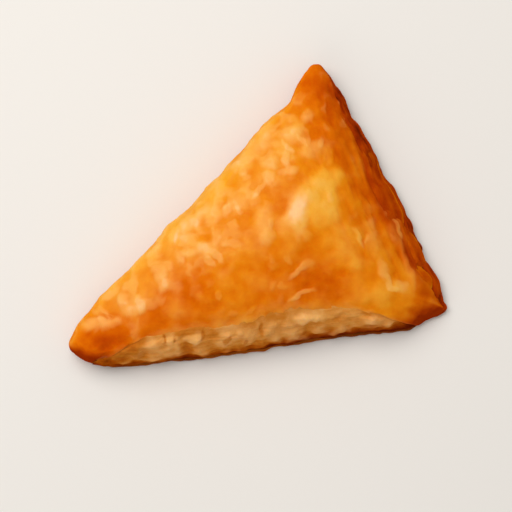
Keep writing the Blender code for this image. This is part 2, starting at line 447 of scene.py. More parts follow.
# Blisters, flakes and wrinkles with clear edges. Their cream is partly a painted highlight, and the hollows
# and the crack that sink are darker with painted shade.
MARKS = [
    # The brightest blister is mostly a painted highlight.
    (13.5, 1.7, 8.5, 5, 70, 0.7, -0.25, 1.55),  # the brightest blister
    (14.2, -4.2, 6.5, 3.8, 85, 0.3, -0.2, 0.5),
    (9.3, -3.2, 7, 4.5, 100, 0.2, -0.1, 0.22),
    (21, 4.5, 14, 9.8, 80, 0.7, -0.27, 0.16),  # the yellow swelling beside it
    (20.5, 10.5, 10, 5.5, 30, 0.3, -0.12, 0.08),
    (23.3, 5, 3.4, 2, 75, 0.2, 0, 0.35),
    (2.8, -3, 13.5, 4.8, 84, 0.45, -0.08, 0.35),
    (5, -3.8, 3.6, 2.2, 80, 0.2, -0.05, 0.35),
    (3.2, -8, 5, 3.6, 60, 0.2, -0.04, 0.3),
    (-6.5, 3.8, 5.6, 5.2, 60, 0.35, -0.08, 0.45),
    (-6.2, 2.2, 4.4, 1.1, 115, 0.25, -0.05, 0.4),
    (-9.9, 1.8, 5.2, 2.4, 90, 0.3, -0.05, 0.5),
    (0.6, 7.6, 6.8, 1.8, 58, 0.3, -0.05, 0.45),
    (3.4, 11.6, 3.6, 2.8, 90, 0.25, -0.05, 0.4),
    (5.1, 16.4, 4, 3.6, 90, 0.5, -0.1, 0.65),
    (9.6, 18, 6.2, 2.4, 92, 0.4, -0.08, 0.65),
    (9.9, 21.8, 5.6, 1.3, 125, 0.3, -0.08, 0.6),
    (10.8, 13.9, 6.6, 2.4, 22, 0.4, -0.06, 0.45),
    (11.2, 27.1, 6.6, 4, 5, 0.5, -0.08, 0.5),
    (15.1, 24.2, 3.8, 1.4, 135, 0.25, -0.05, 0.4),
    (16.6, 33.8, 4.6, 3.4, 80, 0.4, -0.06, 0.4),
    (18.7, 22.4, 7.2, 5.2, 40, 0.4, -0.06, 0.35),
    (21.3, 23.3, 3.8, 1.5, 75, 0.2, -0.05, 0.35),
    (23.3, 19.3, 5.6, 2.4, 88, 0.3, -0.12, 0.08),
    (4.6, 26.6, 4.2, 2.6, 30, 0.3, -0.05, 0.35),
    (-2.5, 21.3, 13, 5, 42, 0.35, -0.06, 0.35),
    (1.8, 22.8, 6.2, 3.6, 45, 0.2, -0.06, 0.3),
    (-4.4, 14.6, 4.8, 2.8, 95, 0.3, -0.06, 0.35),
    (-3.5, 18.4, 5.2, 2, 20, 0.2, -0.05, 0.3),
    (-17.8, 1.4, 6.6, 4.2, 20, 0.45, -0.12, 0.7),
    (-15.4, -1.7, 4, 3.2, 60, 0.25, -0.04, 0.35),
    (-22.6, -2.8, 6.6, 4.6, 25, 0.45, -0.12, 0.65),
    (-20.2, -2.8, 4.2, 1.4, 90, 0.1, 0, 0.4),
    (-27.1, -7.4, 4.8, 1.7, 95, 0.25, -0.05, 0.55),
    (-28.5, -7, 4.2, 3.2, 90, 0.15, -0.1, 0.2),
    (-23.2, -8.2, 4.8, 3.2, 0, 0.3, -0.05, 0.45),
    (-16.6, -11.6, 5.8, 4.6, 0, 0.45, -0.1, 0.6),
    (-13.2, -14, 6.6, 2.2, 135, 0.3, -0.06, 0.5),
    (-15.8, -15.8, 4.8, 2, 130, 0.25, -0.05, 0.4),
    (-22.4, -13, 4.8, 3.2, 10, 0.35, -0.07, 0.55),
    (-25.7, -14.8, 4.2, 2.6, 100, 0.3, -0.05, 0.5),
    (-35.2, -12.2, 5.2, 2.6, 45, 0.25, -0.1, 0.35),
    (-32.1, -19.2, 5.8, 3.8, 95, 0.5, -0.08, 0.55),
    (-31.2, -23.4, 5.4, 3.2, 100, 0.35, -0.06, 0.5),
    (-44.4, -27.6, 5.4, 3.2, 90, 0.5, -0.08, 0.6),
    (-38.6, -29.4, 5.6, 2.2, 95, 0.4, -0.06, 0.5),
    (-41, -31.8, 6.6, 2.8, 5, 0.4, -0.06, 0.45),
    (-48.8, -25.6, 6.2, 2.4, 42, 0.3, -0.06, 0.5),
    (-52, -36, 12.5, 3.6, 3, 0.5, -0.12, 0.55),  # folded-over wrinkle of the left corner
    (-47.6, -33.5, 5.4, 1.6, 145, 0.35, -0.06, 0.3),
    (-56.2, -37.2, 7.6, 3, 28, 0.4, -0.08, 0.35),
    (-49.8, -33.2, 5.2, 1.9, 172, -0.35, 0.1, -0.3),
    (-13.6, -8, 4.6, 2.6, 92, 0.25, -0.03, 0.35),
    (-7.6, -10.4, 5.6, 2.4, 0, 0.25, -0.04, 0.35),
    (-12.8, -28, 2.8, 1.9, 80, 0.25, -0.08, 0.15),
    (-1.4, -31.6, 3.8, 1.8, 30, 0.2, -0.08, 0.12),
    (8.5, -23.8, 2.8, 2.2, 0, 0.2, -0.06, 0.1),
    (10.6, -14.9, 2.4, 1.8, 100, 0.2, -0.06, 0.15),
    (5.5, -17.4, 3.6, 3.2, 0, 0.15, -0.04, 0.08),
    (16.8, -8.2, 3.2, 2.4, 90, 0.2, -0.08, 0.12),
    (14.9, -18.8, 7.6, 2.4, 38, 0.5, -0.12, 0.4),  # flakes
    (14.8, -27.2, 8.2, 1.6, 27, 0.45, -0.12, 0.45),
    (33.5, -8.2, 5.6, 1.4, 118, 0.35, -0.1, 0.26),  # the two lips of a small crack
    (36.1, -8.2, 3, 1.1, 75, 0.25, -0.08, 0.24),
    (35, -9.8, 3, 1.2, 95, -0.5, 0.14, 0),
    (38.4, -8.9, 7.2, 4.2, 95, 0.4, -0.1, 0.2),
    (41, -18.2, 6.2, 2.6, 97, 0.35, -0.06, 0.36),
    (42.8, -22.4, 3.6, 1.5, 120, 0.3, -0.1, 0.5),
    (45, -24, 3.4, 1.4, 5, 0.3, -0.1, 0.5),
    (47.4, -23.6, 4.2, 3.2, 160, 0.4, -0.12, 0.4),
    (44.5, -21.2, 3.2, 2.2, 60, -0.3, 0.04, 0),
    (39.5, -26.5, 13, 4.8, 5, 0.4, -0.04, 0.08),
    (36.5, 1.5, 13, 2.2, 112, 0.35, -0.06, 0.05),
    (28, -9, 6.4, 4.4, 90, 0.25, -0.07, 0.08),
    (51.2, -17, 15, 2.8, 100, 0.4, -0.08, 0.1),
    (49.4, -3.2, 8, 2, 113, 0.4, -0.2, 0.2),
    (-17.6, -8.1, 4.6, 2.4, 0, -0.25, 0.03, -0.3),  # golden hollows between the blisters
    (-4.5, -1.5, 4.2, 4.2, 0, -0.25, 0.02, -0.25),
    (-12, 4.2, 5.2, 3.2, 95, -0.25, 0.05, -0.25),
    (3.2, 5, 5.2, 4.2, 90, -0.25, 0.03, -0.25),
    (-10, 12.5, 8.4, 6.2, 45, -0.25, 0.05, -0.3),
    (17.5, 16, 7, 4.6, 0, -0.25, 0.04, -0.25),
    (18, 27.5, 6, 5, 90, -0.25, 0.1, -0.25),
]


def lip_way(form):
    """The way at which the crust ends: its share of the wall and the foot, with a ragged edge where it is
    bare below."""
    line = form.unrolled(form.top)
    pale = form.value(PALE_EDGE)
    share, = eased(LIP, form.places + 0.22 * pale * noise(line, 4.0, seed=24, octaves=2))
    rough = 0.35 + 0.65 * pale
    ragged = 0.9 * noise(line, 9.0, seed=21) + 0.7 * rough * noise(line, 2.4, seed=22, octaves=2)
    ragged -= 0.9 * rough * step(0.1, 0.4, noise(line, 3.2, seed=23))
    down = np.minimum(share, 1) * form.wall + np.maximum(share - 1, 0) * form.foot
    return form.top + down + ragged * bareness(form)


def bareness(form):
    """1 where the crust ends above a bare wall, and 0 where it runs down to the foot."""
    return 1 - step(1.2, 1.75, form.value(LIP))


def mark_field(flat, marks, softness):
    """The marks' height, tone and cream: flat-topped domes with wandering outlines. The wider a mark and the
    greater the softness, the softer its edge. Heights and tones add up, and cream, partly a painted
    highlight, covers what is left. A mark is creamiest at one end."""
    flat = flat + 1.3 * wander(flat, 4.5, seed=31) + 0.5 * wander(flat, 1.7, seed=33)
    height, tone, bare = np.zeros(len(flat)), np.zeros(len(flat)), np.ones(len(flat))
    for mark in [Mark(*row) for row in marks]:
        along, across = turned(flat - [mark.x, mark.y], np.radians(mark.turn))
        along, across = along / (mark.length / 2), across / (mark.width / 2)
        edge = np.clip(softness * mark.width, 0.4, 0.85)
        dome = step(1.1 + edge, 1.1 - edge, np.sqrt(along**2 + across**2))
        height += mark.height * dome * np.clip(mark.width / 4, 0.3, 1)
        tone += mark.tone * dome
        bare *= 1 - mark.cream * dome * np.clip(0.85 - 0.3 * along, 0.5, 1.15)
    return np.array([height, tone, 1 - bare])


def crust_relief(points, normals, flat, form, way):
    """The crust's relief over the bare form, its tone and its cream, all from swellings, blisters, zones
    and marks. Much of the tone and cream is painted light and shade."""
    warp = wander(points, 3.0, seed=42)
    puffs = noise(points, 15.0, seed=44)
    swells = noise(points, 6.5, seed=45, octaves=2)
    ripples = noise(points, 2.6, seed=46, octaves=2)
    share = 0.12 + 0.3 * step(-0.2, 0.4, noise(flat, 20.0, seed=41))
    small = blisters(flat + 0.9 * warp, 4.4, seed=61, share=share, stretch=1.7, lean=75, spread=110)
    blotch = step(-0.08, 0.45, noise(flat + 1.2 * warp, 5.5, seed=47, octaves=2))
    blotch *= step(28, 12, (flat - FOLD_START) @ FOLD_INWARDS)
    marks = mark_field(flat, ZONES, ZONE_SOFTNESS) + mark_field(flat, MARKS, MARK_SOFTNESS) * MARK_STRENGTH
    height, tone, cream = marks + UNEVENNESS.T @ [puffs, swells, ripples, small, blotch]
    streak = noise(np.column_stack(turned(flat, STREAK_TURN)) / STREAK_SIZE, 1.0, seed=82, octaves=2)
    short_side = form.value(RIGHT_EDGE)
    # Beside the short side the crust is streaked, and darker with painted shade.
    at_edge = step(24, 8, form.top - way) * short_side
    height += 0.3 * at_edge * streak
    tone += CRUST_TONE + at_edge * (0.06 - 0.1 * streak)
    # The crust is darker low down, partly browning and partly painted shade, and most where it faces the
    # front, painted shade.
    # It is darker down over the rim beside the short side, painted shade, and paler where the fold rolls
    # over, painted light.
    over_rim, up = way - form.top, points[:, 2]
    rolled = step(-2, 6, over_rim) * (1 - bareness(form))
    frontal = np.clip(-1.9 * normals[:, 1] - 0.15, 0, 1)
    tone += 0.4 * step(7, 1, up) - 0.1 * rolled * step(4, 12, up) * (1 - frontal)
    tone += 0.4 * step(16, 6, up) * frontal + 0.24 * step(0, 7, over_rim) * short_side
    # Cream and painted highlight fade where the crust is dark, and where it faces the front, in painted
    # shade, except towards its pale lip.
    cream *= 1 - 0.85 * frontal * (1 - form.value(PALE_EDGE))
    cream *= step(0.85, 0.6, tone)
    return height, tone, cream


def crust_skin(form, way, lip):
    """The crust's points at a way from the crown, before their relief, and their normals, relief, tone and
    cream, partly painted light and shade. Towards the lip the crust calms down, and where it is pale
    there it takes the dough's colour."""
    flat = form.unrolled(way)
    points, normals = form.at(way), form.outward_normals(np.maximum(way, 0.5))
    relief, tone, cream = crust_relief(points, normals, flat, form, way)
    pale = form.value(PALE_EDGE)
    near_lip = step(4.0, 0.0, lip - way) * bareness(form)
    lift = np.maximum(noise(flat, 9.0, seed=91) + 0.2, 0) * (1 - pale) * step(10.8, 11.6, form.places)
    relief = relief * step(0.0, 5.0, points[:, 2]) * (1 - 0.6 * pale * near_lip)
    relief += near_lip * (0.5 * lift - 0.2)
    drift = 3.0 * noise(flat, 5.0, seed=92, octaves=2)
    blend = pale * step(7.0, 0.0, lip - way + drift)
    # Where the lip lifts, the crust is lighter: a painted highlight.
    return points, normals, relief, tone - 0.1 * near_lip * lift - 0.03 * blend, cream + 0.17 * blend


def crust():
    """The crust is a square grid wrapped over the form and pushed out by its relief. Its border runs round
    the lip, which draws on the outer rings only, and a strip of skin closes it underneath."""
    out, round_share = square_rings(CRUST_SIDE)
    form = Form(even_places(round_share))
    lip, pale = lip_way(form), form.value(PALE_EDGE)
    calm = form.top + 0.5 * form.wall
    way = out * calm + out**4 * (lip - calm)
    points, normals, relief, tone, cream = crust_skin(form, way, lip)
    relief -= EDGE_DIVE * pale * bareness(form) * step(2.4, 0.0, lip - way)
    skin = points + normals * relief[:, None]
    border = square_border(CRUST_SIDE)
    edge = Form(form.places[border])
    rings = []
    for back, depth in UNDER_WAYS:
        there = np.maximum(lip[border] - back, 1)
        at_lip = back < 1
        raised = normals[border] * (relief[border] * at_lip)[:, None]
        thin = (depth * (1 - 0.6 * pale[border] * at_lip))[:, None]
        rings.append(edge.at(there) - edge.outward_normals(there) * thin + raised)
    solid = np.vstack([skin, *rings, [[*CROWN, CROWN_HEIGHT / 2]]])
    solid[:, 2] = np.maximum(solid[:, 2], CRUST_FLOOR)
    masks = {}
    for mask, values in (("toast", tone), ("cream", cream)):
        under = np.tile(values[border], len(rings))
        masks[mask] = np.clip(np.concatenate([values, under, [0.5]]), 0, DARKEST)
    return solid, plate_faces(CRUST_SIDE, len(rings)), masks


# ---- The risen inside and the base ----

BODY_COLUMNS = 1150
BODY_RINGS = 66
BODY_FLOOR = 1.2  # its underside, which lies on the base
BODY_PEAK = 9.0  # the top of its low cone under the crust
UNDER_CRUST = 3.0  # how far it reaches up behind the crust's lip
LAYER_PITCH = 3.6  # from one risen layer to the next
THIN_PITCH = 0.55  # from one thin layer to the next
# A place on the edge of the left corner's crust, and the direction from that edge into the pale wall.
LEFT_START = np.array([-37.0, -41.0])
LEFT_INWARDS = np.array([0.43, -0.9])
BASE_SIDE = 181  # points along each side of the base's square grid
BASE_PEAK = 2.0  # the middle of its upper side
BASE_RINGS = [(0.0, 0.45), (0.5, 0.8), (4.0, 1.0)]  # way back from the edge, thickness
# Lumps, flecks and pits of the front side, by their places seen from above. The pits are darker with painted
# shade, and the lumps creamier with painted highlights.
WALL_MARKS = [
    (-44.7, -46, 3.4, 2.6, 20, 0.4, -0.1, 0.5),
    (-40, -44.8, 5.2, 4.2, 60, 0.5, -0.05, 0.35),
    (-34.3, -43, 6.4, 4.8, 80, 0.6, -0.04, 0.38),
    (-28.3, -42.2, 5, 3.8, 80, 0.4, -0.08, 0.45),
    (-21.6, -41.4, 5.4, 2.6, 5, 0.3, -0.08, 0.4),
    (-8.5, -38.6, 5.2, 3.4, 10, 0.5, -0.06, 0.45),
    (-2.9, -39.6, 6.2, 4.8, 40, 0.7, -0.08, 0.5),
    (4.6, -39, 4.6, 4.4, 90, 0.4, -0.06, 0.4),
    (11.6, -38.4, 6.6, 4, 15, 0.4, -0.06, 0.45),
    (15.4, -34.9, 4.4, 3.6, 50, 0.8, -0.1, 0.6),
    (19, -34.2, 3.6, 2.4, 80, 0.4, -0.06, 0.35),
    (40.4, -34.6, 8.4, 4.4, 15, 0.7, -0.02, 0.45),
    (-23.1, -44.6, 5.2, 4.4, 70, -0.5, 0.16, -0.2),
    (-30.8, -41.8, 2.6, 1, 95, -0.7, 0.24, 0),
    (-27.6, -41.8, 1.9, 0.9, 80, -0.5, 0.2, 0),
    (-17.9, -40.6, 2.8, 1, 95, -0.5, 0.14, 0),
    (-9.9, -42.2, 3, 1.3, 70, -0.4, 0.17, 0),
    (-4.3, -42, 1.8, 1.1, 60, -0.4, 0.16, 0),
    (1.7, -38.2, 5, 1.4, 92, -0.35, 0.08, 0),
]


def grid_normals(points):
    """Outward normals of rings of points, closed round their columns: the step round times the step down."""
    around = np.roll(points, -1, axis=1) - np.roll(points, 1, axis=1)
    return unit(np.cross(around, np.gradient(points, axis=0)))


def body_relief(points, crumbly):
    """The wall's relief, tone and cream: risen layers as rounded bulges with creases between them and thin
    layers over those, and on the crumbly side soft lumps with a few pits. Creases and pits are darker with
    painted shade, and lump tops lighter and creamier with painted highlights."""
    height = points[:, 2]
    drift = noise(points, (15.0, 15.0, 50.0), seed=101)
    crumbly = crumbly * (1 - 0.6 * step(7.5, 3.5, height + 1.5 * drift))
    level = height / LAYER_PITCH + 0.5 * drift + 0.3 * noise(points, (6.0, 6.0, 8.0), seed=102)
    place = level - np.floor(level)
    bulge = np.sqrt(np.clip(1 - (2 * place - 1) ** 2, 0, 1))
    fine = noise(np.column_stack([points[:, :2] / 9.0, height / THIN_PITCH + 3 * drift]), 1.0, seed=109)
    torn = noise(points, (5.0, 5.0, 2.5), seed=103, octaves=2)
    layered = 0.7 * (bulge - 0.9) + 0.2 * fine + 0.25 * torn
    lumps = noise(points, (4.6, 4.6, 5.4), seed=104) + 0.35 * noise(points, (2.1, 2.1, 2.2), seed=105)
    unrolled = np.column_stack([points[:, 0], height - 0.5 * points[:, 1]])
    pits = blisters(unrolled, 3.4, seed=121, share=0.1, stretch=1.6, lean=90, spread=40)
    mark_height, mark_tone, mark_cream_and_highlight = mark_field(points[:, :2], WALL_MARKS, WALL_SOFTNESS)
    soft = lumps + 0.12 * torn + 0.22 * fine - 0.5 * pits - 0.2 + mark_height
    relief = layered * (1 - crumbly) + soft * crumbly
    patches = noise(points, (9.0, 9.0, 6.0), seed=107)
    # Painted shade in the creases and pits, and painted highlights on the lumps.
    tone = (0.14 * (1 - bulge) - 0.08 * fine - 0.05 * torn) * (1 - crumbly)
    tone += (0.22 * pits - 0.1 * lumps - 0.06 * fine - 0.08 * patches + mark_tone) * crumbly
    hollow = np.clip(4 * (mark_tone + 0.5 * pits), 0, 1)
    cream = 0.3 * step(-0.1, 0.5, lumps + 0.5 * patches) + 0.65 * mark_cream_and_highlight
    return relief, tone, cream * (1 - hollow) * step(6.0, 9.5, height) * crumbly


def wall_brown_and_shade(form, points, below):
    """How dark the wall is before its relief, browning and on the short side also painted shade, and how
    crumbly: it is crumbly where it is pale. The crumbly side is browner at both ends, and lighter in a
    stretch below the lip."""
    x = points[:, 0]
    brown_and_shade = np.tile(form.value(WALL_TOAST_AND_SHADE), BODY_RINGS)
    crumbly = step(0.6, 0.4, brown_and_shade)
    from_corner = (points[:, :2] - LEFT_START) @ LEFT_INWARDS + 2.5 * noise(points, 3.5, seed=111)
    left_end = step(6.0, 0.5, from_corner) * step(-33, -42, x)
    right_end = step(44.5, 49, x + noise(points, 5.0, seed=108))
    golden = step(8.0, 1.0, below) * step(8, 20, x) * step(38, 32, x)
    return brown_and_shade + crumbly * (0.22 * left_end + 0.2 * right_end - 0.13 * golden), crumbly


def foot_brown_and_shade(points, brown_and_shade):
    """How much darker the wall gets towards its foot, in three waves, and less where it is dark already:
    partly browning, partly painted shade.
    """
    low = points[:, 2] - 0.5 - 1.6 * step(-2, 14, points[:, 0])
    low += 1.6 * noise(points, (8.0, 8.0, 3.0), seed=110, octaves=2)
    under = 0.21 * step(10.5, 6.5, low) + 0.18 * step(8.5, 4.5, low) + 0.28 * step(6.0, 2.0, low)
    return under * step(1.0, 0.4, brown_and_shade)


def body():
    """The risen inside: rings down the wall from behind the crust's lip to the foot, pushed out by their
    relief, which meets the crust's at the lip, then closed flat below and by a low cone under the crust."""
    form = Form(even_places(np.arange(BODY_COLUMNS) / BODY_COLUMNS))
    lip, bare, pale = lip_way(form), bareness(form), form.value(PALE_EDGE)
    start = lip - UNDER_CRUST
    ways = start + (form.whole() - start) * np.linspace(0, 1, BODY_RINGS)[:, None]
    rings = np.array([form.at(way) for way in ways])
    points, normals = rings.reshape(-1, 3), grid_normals(rings).reshape(-1, 3)
    below = ways - lip
    brown_and_shade, crumbly = wall_brown_and_shade(form, points, below.ravel())
    relief, tone, cream = body_relief(points, crumbly)
    at_lip = crust_skin(form, lip, lip)[2] + 0.08 * pale - 0.5 * (1 - pale)
    joint = step(3.5 + 4.0 * (1 - pale), 0.3, below)
    relief = relief.reshape(ways.shape) * (1 - joint) + at_lip * joint
    relief -= 0.9 * step(-0.4, -1.3, below + 1.7 * pale)
    relief = (relief * bare - 0.8 * (1 - bare)).ravel() - 0.8 * step(7.0, 2.8, points[:, 2]) * crumbly
    skin = points + normals * (relief * step(0.0, 1.0, points[:, 2]))[:, None]
    skin[:, 2] = np.maximum(skin[:, 2], BODY_FLOOR)
    shade = 0.07 * step(2.0, 0.0, below).ravel() * crumbly * step(-38, -20, points[:, 0])
    toast = brown_and_shade + tone + foot_brown_and_shade(points, brown_and_shade) + shade
    cream *= step(0.54, 0.4, brown_and_shade) * (1 - 0.5 * step(4.5, 0.0, below).ravel() * crumbly)
    solid = np.vstack([skin, [[*CROWN, BODY_FLOOR]], [[*CROWN, BODY_PEAK]]])
    grid = np.arange(len(skin)).reshape(ways.shape)
    faces = [strips(grid), fan(grid[-1], len(skin)), fan(grid[0], len(skin) + 1, flip=True)]
    masks = {"toast": np.clip([*toast, 0.6, 0.6], 0, 1), "cream": np.array([*cream, 0, 0])}
    return solid, faces, masks


def base():
    """The browned bottom crust: a thin plate out to the foot, whose ragged edge shows at the cut sides. Its
    underside is a square grid with shallow swellings, and its edge turns up over a few rings."""
    out, round_share = square_rings(BASE_SIDE)
    form = Form(even_places(round_share))
    bare = bareness(form)
    line = form.unrolled(form.reach)
    ragged = 0.6 * noise(line, 6.0, seed=131) + 0.4 * noise(line, 2.6, seed=132)
    reach = form.reach + form.value(BASE_EDGE) + ragged * bare
    flat = form.unrolled(reach * out)
    hollows = 0.25 + 0.25 * noise(flat, 9.0, seed=134, octaves=3)
    rise = np.maximum(hollows, 0) * step(1.0, 0.94, out) + 0.9 * step(0.95, 1.0, out) * bare
    rise += 0.5 * np.maximum(noise(flat, 7.0, seed=135), 0) * step(0.93, 1.0, out) * bare
    border = square_border(BASE_SIDE)
    rings = []
    for back, thick in BASE_RINGS:
        inner = form.unrolled(reach - back)
        rings.append(np.column_stack([inner, rise + thick])[border])
    solid = np.vstack([np.column_stack([flat, rise]), *rings, [[*CROWN, BASE_PEAK]]])
    # The bottom crust darkens towards its edge, partly browning and partly painted shade.
    tone = 0.5 + 0.2 * noise(flat, 11.0, seed=136, octaves=3) + 0.32 * step(0.6, 1.0, out)
    toast = np.clip([*tone, *np.tile(tone[border] - 0.04, len(rings)), 0.6], 0, 1)
    return solid, plate_faces(BASE_SIDE, len(rings), facing_down=True), {"toast": toast, "cream": 0 * toast}


# ---- The brown leaves of the short side ----

# A leaf: from and to which place it runs, from and to which share of the way down the wall it reaches, how
# far its free edge lifts, its thickness, how torn its edge is, its tone and its draw of noise.
Leaf = namedtuple("Leaf", "start end top bottom lift thick torn toast seed")
# The leaves' dark tones are partly painted shade.
LEAVES = [
    Leaf(8.9, 11.5, 0.14, 0.94, 0.4, 0.6, 0.2, 0.86, 201),  # the lobes near the top corner
    Leaf(10.2, 12.4, 0.12, 0.84, 0.5, 0.6, 0.1, 0.77, 202),  # the broad leaves that show from above
    Leaf(11.6, 13.9, 0.40, 0.93, 0.4, 0.6, 0.1, 0.76, 203),
    Leaf(12.9, 15.2, 0.15, 0.86, 0.4, 0.6, 0.15, 0.62, 204),
    Leaf(10.6, 12.8, 0.62, 0.98, 0.7, 0.5, 0.3, 0.84, 205),  # those below them
    Leaf(12.2, 15.6, 0.62, 1.0, 0.7, 0.5, 0.3, 0.82, 206),
    Leaf(14.8, 17.1, 0.80, 1.0, 0.5, 0.5, 0.4, 0.74, 207),
    Leaf(9.0, 13.4, 0.82, 1.0, 0.5, 0.4, 0.6, 0.90, 208),
    Leaf(12.8, 17.0, 0.84, 1.0, 0.5, 0.4, 0.6, 0.90, 209),
]
LENGTH_STEPS = 60  # along a leaf, to measure its length
LEAF_STEP = 0.4  # from one of its sections to the next
LEAF_ROOT = 1.3  # how deep its inner edge lies in the body
LEAF_TAPER = 12.0  # how far from its ends it reaches its full lift
# A leaf's section from inside to its free edge, as shares of its width.
LEAF_WIDTHS = np.array([0.0, 0.12, 0.24, 0.36, 0.46, 0.56, 0.65, 0.73, 0.8, 0.86, 0.91, 0.95, 0.98, 1.0])
LEAF_STREAKS = (11.0, 1.7)  # the length and width of its streaks
LEAF_FLOOR = 0.5  # the lowest place of a leaf


def leaf(sort):
    """One leaf of baked dough: a thin sheet over a strip of the wall, with a rounded free edge. Its inner
    edge and its ends lie in the body, it lifts off outwards, and noise tears and flutters its free edge."""
    line = around_spline(OUTLINE, np.linspace(sort.start, sort.end, LENGTH_STEPS))
    length = np.linalg.norm(np.diff(line, axis=0), axis=1).sum()
    columns = int(length / LEAF_STEP)
    form = Form(np.linspace(sort.start, sort.end, columns))
    run = np.linspace(0, length, columns)
    along = np.column_stack([run, 0 * run])
    ends = step(0, LEAF_TAPER, run) * step(0, LEAF_TAPER, length - run)
    tears = 0.6 * noise(along, 2.4, sort.seed + 2, octaves=2)
    tears -= 1.2 * step(0.15, 0.4, noise(along, 3.6, sort.seed + 3))
    torn = 0.8 * noise(along, 9.0, sort.seed + 1) + sort.torn * tears
    top = form.top + sort.top * form.wall + 0.5 * noise(along, 12.0, sort.seed)
    reach = np.maximum((sort.bottom - sort.top) * form.wall * (0.6 + 0.4 * ends) + torn, 1.0)
    lift = sort.lift * (1 + 0.6 * noise(along, 7.0, sort.seed + 4))
    flutter = 0.25 + 0.3 * sort.torn
    widths = np.concatenate([LEAF_WIDTHS, LEAF_WIDTHS[-2::-1]])
    halves = sort.thick / 2 * np.sqrt(1 - widths**12)
    halves[len(LEAF_WIDTHS):] *= -1
    sheet, streaks = [], []
    for width, half in zip(widths, halves):
        way = top + reach * width
        ripple = flutter * noise(along + [0, 2 * width], 3.8, sort.seed + 5) * width
        plan = np.column_stack([run, reach * width]) / LEAF_STREAKS
        streak = noise(plan, 1.0, sort.seed + 6, octaves=2) * ends
        off = LEAF_ROOT * (step(0.0, 0.35, width) * ends - 1) + (lift + ripple) * width**2 * ends
        off += half + 0.3 * streak
        streaks.append(streak)
        sheet.append(form.at(way) + form.outward_normals(way) * off[:, None])
    points = np.vstack(sheet)
    points[:, 2] = np.maximum(points[:, 2], LEAF_FLOOR)
    tone = sort.toast + 0.12 * noise(points, 5.0, sort.seed + 7, octaves=2)
    # The free edge is lighter: a painted highlight.
    tone -= 0.14 * np.concatenate(streaks) + 0.26 * np.repeat(step(0.85, 1.0, widths), columns)
    grid = np.arange(len(points)).reshape(-1, columns)
    faces = [strips([*grid, grid[0]], closed=False), grid[:, :1].T, grid[::-1, -1:].T]
    return points, faces, {"toast": np.clip(tone, 0, 1), "cream": 0 * tone}


def joined(shapes):
    """Several shapes as one: their points in a row, and their faces counted on from each other's points."""
    first = np.cumsum([0] + [len(points) for points, _, _ in shapes])
    points = np.vstack([points for points, _, _ in shapes])
    faces = [part + start for (_, parts, _), start in zip(shapes, first) for part in parts]
    masks = {mask: np.concatenate([masks[mask] for _, _, masks in shapes]) for mask in shapes[0][2]}
    return points, faces, masks


# ---- Finishes ----


def add(tree, kind, *links, **settings):
    """A shader node with its settings made and its inputs linked or set, in order or by name."""
    node = tree.nodes.new(kind)
    for name, value in settings.items():
        if hasattr(node, name):
            setattr(node, name, value)
        else:
            put(tree, node, name.replace("_", " "), value)
    for index, value in enumerate(links):
        put(tree, node, index, value)
    return node


def put(tree, node, socket, value):
    """Links or sets one input of a node."""
    if isinstance(value, bpy.types.NodeSocket):
        tree.links.new(value, node.inputs[socket])
    elif value is not None:
        node.inputs[socket].default_value = value


def math(tree, operation, *values):
    """What a math node puts out for these values."""
    return add(tree, "ShaderNodeMath", *values, operation=operation).outputs[0]


def bake_marks():
    """A shader group with what baking leaves all over: soft mottling, fine grain and tiny bubbles, each
    worked out from object coordinates scaled to millimetres."""
    group = bpy.data.node_groups.new("bake_marks", "ShaderNodeTree")
    group.interface.new_socket("Place", in_out="INPUT", socket_type="NodeSocketVector")
    for name in ("Mottle Size", "Grain Size"):
        group.interface.new_socket(name, in_out="INPUT", socket_type="NodeSocketFloat")
    for name in ("Mottle", "Grain", "Bubbles"):
        group.interface.new_socket(name, in_out="OUTPUT", socket_type="NodeSocketFloat")
    given = add(group, "NodeGroupInput").outputs
    place = add(group, "ShaderNodeVectorMath", given["Place"], operation="SCALE", Scale=1 / MM).outputs[0]
    mottle_scale = math(group, "DIVIDE", 1.0, given["Mottle Size"])
    grain_scale = math(group, "DIVIDE", 1.0, given["Grain Size"])
    mottle = add(group, "ShaderNodeTexNoise", Vector=place, Scale=mottle_scale, Detail=4.0, Roughness=0.6,
                 Distortion=0.6)
    grain = add(group, "ShaderNodeTexNoise", Vector=place, Scale=grain_scale, Detail=3.0, Roughness=0.6)
    bubbles = add(group, "ShaderNodeTexVoronoi", Vector=place, Scale=grain_scale, feature="SMOOTH_F1",
                  Smoothness=0.6)
    domes = math(group, "SUBTRACT", 1.0, bubbles.outputs["Distance"])
    add(group, "NodeGroupOutput", mottle.outputs[0], grain.outputs[0], domes)
    return group


# Colours from pale to dark, each with the toast and shading at which it is reached.
# Their strong orange is partly painted warm reflected light, and their dark end, used on the short side and
# the foot, partly painted shade.
CRUST_COLOURS = [
    (0.0, (0.98, 0.62, 0.12)),
    (0.2, (0.94, 0.44, 0.025)),
    (0.36, (0.87, 0.285, 0.005)),
    (0.52, (0.76, 0.165, 0.001)),
    (0.66, (0.62, 0.092, 0.001)),
    (0.8, (0.46, 0.048, 0.001)),
    (0.9, (0.31, 0.025, 0.001)),
    (1.0, (0.11, 0.01, 0.001)),
]
# Their strong orange is partly painted warm reflected light.
PALE_COLOURS = [
    (0.0, (0.98, 0.54, 0.17)),
    (0.25, (0.84, 0.365, 0.08)),
    (0.45, (0.64, 0.205, 0.02)),
    (0.65, (0.45, 0.093, 0.003)),
    (0.82, (0.27, 0.037, 0.001)),
    (1.0, (0.13, 0.01, 0.001)),
]
BASE_COLOURS = [
    (0.0, (0.82, 0.42, 0.12)),
    (0.35, (0.62, 0.25, 0.045)),
    (0.65, (0.4, 0.1, 0.01)),
    (1.0, (0.16, 0.025, 0.003)),
]
